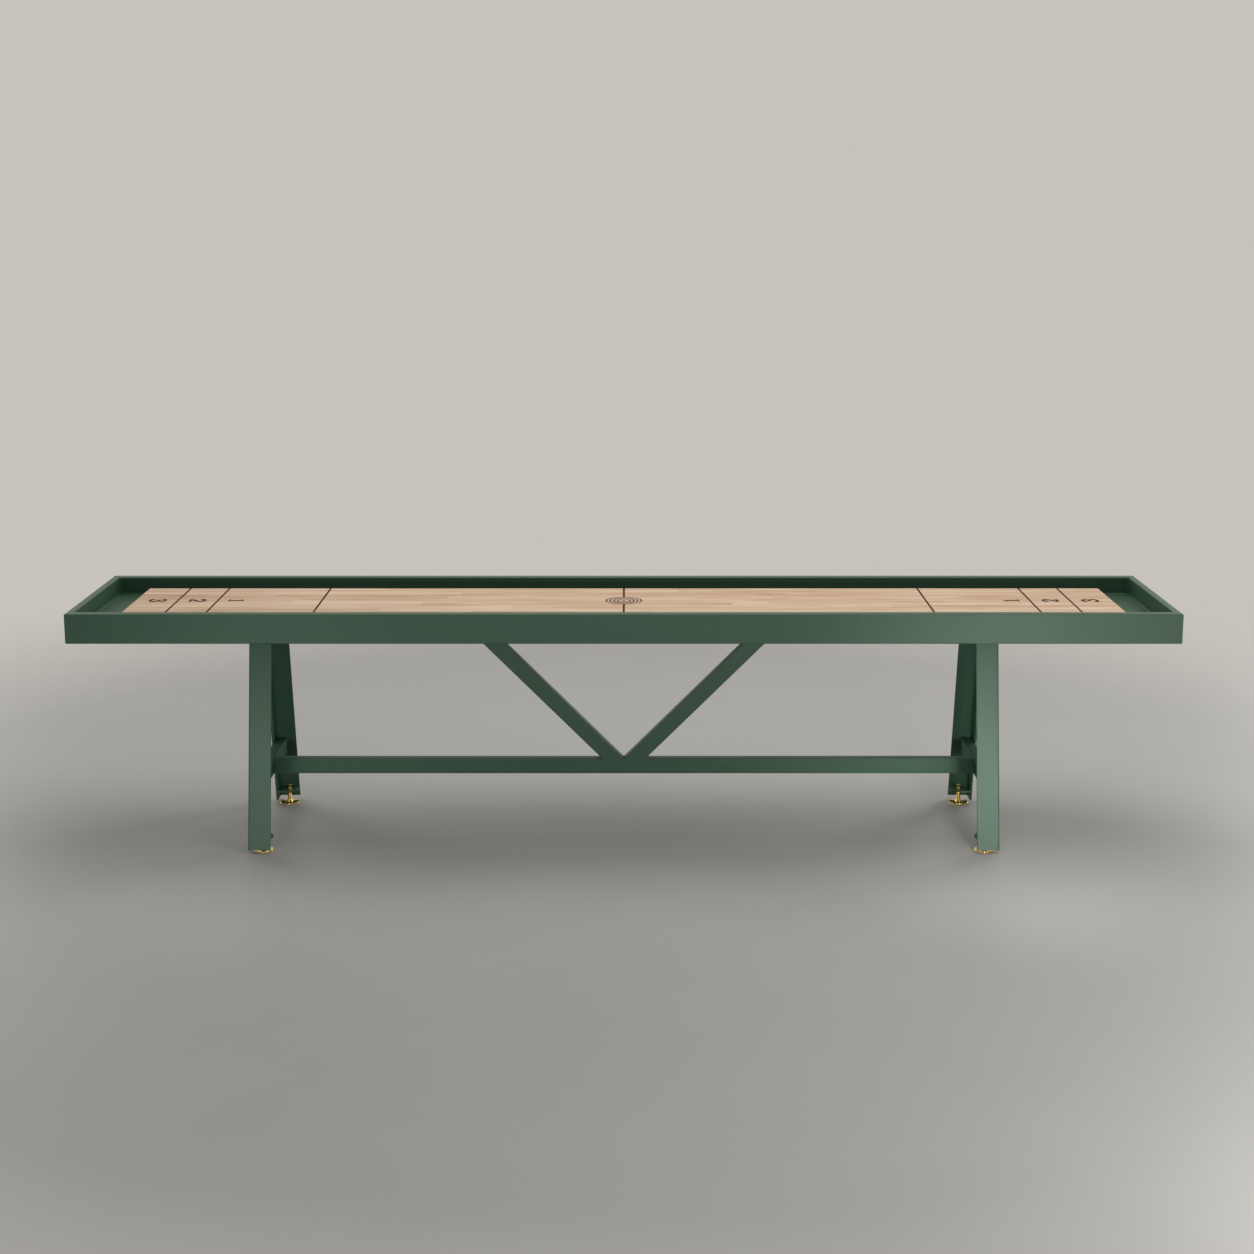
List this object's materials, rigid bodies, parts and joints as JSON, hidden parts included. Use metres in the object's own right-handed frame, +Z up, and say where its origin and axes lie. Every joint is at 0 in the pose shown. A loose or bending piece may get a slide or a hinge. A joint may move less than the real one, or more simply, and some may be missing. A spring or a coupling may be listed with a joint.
{
  "type": "shuffleboard table",
  "caption": "Long tray-topped game table on two splayed leg frames with a braced stretcher; a raised wooden playing board lies in the tray between gutters, on screw feet.",
  "frame": {"origin": "on the floor, below the middle of the table", "axes": "+X along the length, +Y towards the rear long rail, +Z up; the pictured side is -Y"},
  "size_m": [3.658, 0.711, 0.825],
  "materials": {
    "green_coat": "satin powder coat",
    "maple": "lacquered laminated maple",
    "brass": "polished",
    "zinc_steel": "zinc plated"
  },
  "bodies": {
    "table_frame": {"front_rail": "green_coat", "gutter_pan": "green_coat", "left_cross_bar": "green_coat", "left_end_beam": "green_coat", "left_end_rail": "green_coat", "left_front_board_screw": "zinc_steel", "left_front_foot_plate": "green_coat", "left_front_leg": "green_coat", "left_leg_beam": "green_coat", "left_leg_bolt_1": "zinc_steel", "left_leg_bolt_2": "zinc_steel", "left_leg_bolt_3": "zinc_steel", "left_leg_bolt_4": "zinc_steel", "left_leg_plate": "green_coat", "left_rear_board_screw": "zinc_steel", "left_rear_foot_plate": "green_coat", "left_rear_leg": "green_coat", "left_stretcher_bolt": "zinc_steel", "left_stretcher_plug": "zinc_steel", "left_strut": "green_coat", "left_strut_beam": "green_coat", "left_strut_bolt_1": "zinc_steel", "left_strut_bolt_2": "zinc_steel", "left_strut_plate": "green_coat", "middle_beam": "green_coat", "playing_board": "maple", "rear_rail": "green_coat", "right_cross_bar": "green_coat", "right_end_beam": "green_coat", "right_end_rail": "green_coat", "right_front_board_screw": "zinc_steel", "right_front_foot_plate": "green_coat", "right_front_leg": "green_coat", "right_leg_beam": "green_coat", "right_leg_bolt_1": "zinc_steel", "right_leg_bolt_2": "zinc_steel", "right_leg_bolt_3": "zinc_steel", "right_leg_bolt_4": "zinc_steel", "right_leg_plate": "green_coat", "right_rear_board_screw": "zinc_steel", "right_rear_foot_plate": "green_coat", "right_rear_leg": "green_coat", "right_stretcher_bolt": "zinc_steel", "right_stretcher_plug": "zinc_steel", "right_strut": "green_coat", "right_strut_beam": "green_coat", "right_strut_bolt_1": "zinc_steel", "right_strut_bolt_2": "zinc_steel", "right_strut_plate": "green_coat", "stretcher": "green_coat"},
    "left_front_foot": {"left_front_foot_pad": "brass"},
    "left_front_stem": {"left_front_foot_stem": "brass"},
    "left_rear_foot": {"left_rear_foot_pad": "brass"},
    "left_rear_stem": {"left_rear_foot_stem": "brass"},
    "right_front_foot": {"right_front_foot_pad": "brass"},
    "right_front_stem": {"right_front_foot_stem": "brass"},
    "right_rear_foot": {"right_rear_foot_pad": "brass"},
    "right_rear_stem": {"right_rear_foot_stem": "brass"}
  },
  "joints": [
    {"name": "left_front_foot_height", "type": "slide", "parent": "table_frame", "child": "left_front_foot", "axis": [0, 0, -1], "range_m": [-0.009, 0.008]},
    {"name": "left_front_stem_turn", "type": "hinge", "parent": "left_front_foot", "child": "left_front_stem", "pos_m": [-1.216, -0.2866, 0.03], "axis": [0, 0, -1], "range_deg": [-1620, 1440]},
    {"name": "left_rear_foot_height", "type": "slide", "parent": "table_frame", "child": "left_rear_foot", "axis": [0, 0, -1], "range_m": [-0.009, 0.008]},
    {"name": "left_rear_stem_turn", "type": "hinge", "parent": "left_rear_foot", "child": "left_rear_stem", "pos_m": [-1.216, 0.2866, 0.03], "axis": [0, 0, -1], "range_deg": [-1620, 1440]},
    {"name": "right_front_foot_height", "type": "slide", "parent": "table_frame", "child": "right_front_foot", "axis": [0, 0, -1], "range_m": [-0.009, 0.008]},
    {"name": "right_front_stem_turn", "type": "hinge", "parent": "right_front_foot", "child": "right_front_stem", "pos_m": [1.216, -0.2866, 0.03], "axis": [0, 0, -1], "range_deg": [-1620, 1440]},
    {"name": "right_rear_foot_height", "type": "slide", "parent": "table_frame", "child": "right_rear_foot", "axis": [0, 0, -1], "range_m": [-0.009, 0.008]},
    {"name": "right_rear_stem_turn", "type": "hinge", "parent": "right_rear_foot", "child": "right_rear_stem", "pos_m": [1.216, 0.2866, 0.03], "axis": [0, 0, -1], "range_deg": [-1620, 1440]}
  ],
  "couplings": [
    {"joint": "left_front_stem_turn", "follows": "left_front_foot_height", "rad_per_m": 3141.6},
    {"joint": "left_rear_stem_turn", "follows": "left_rear_foot_height", "rad_per_m": 3141.6},
    {"joint": "right_front_stem_turn", "follows": "right_front_foot_height", "rad_per_m": 3141.6},
    {"joint": "right_rear_stem_turn", "follows": "right_rear_foot_height", "rad_per_m": 3141.6}
  ]
}
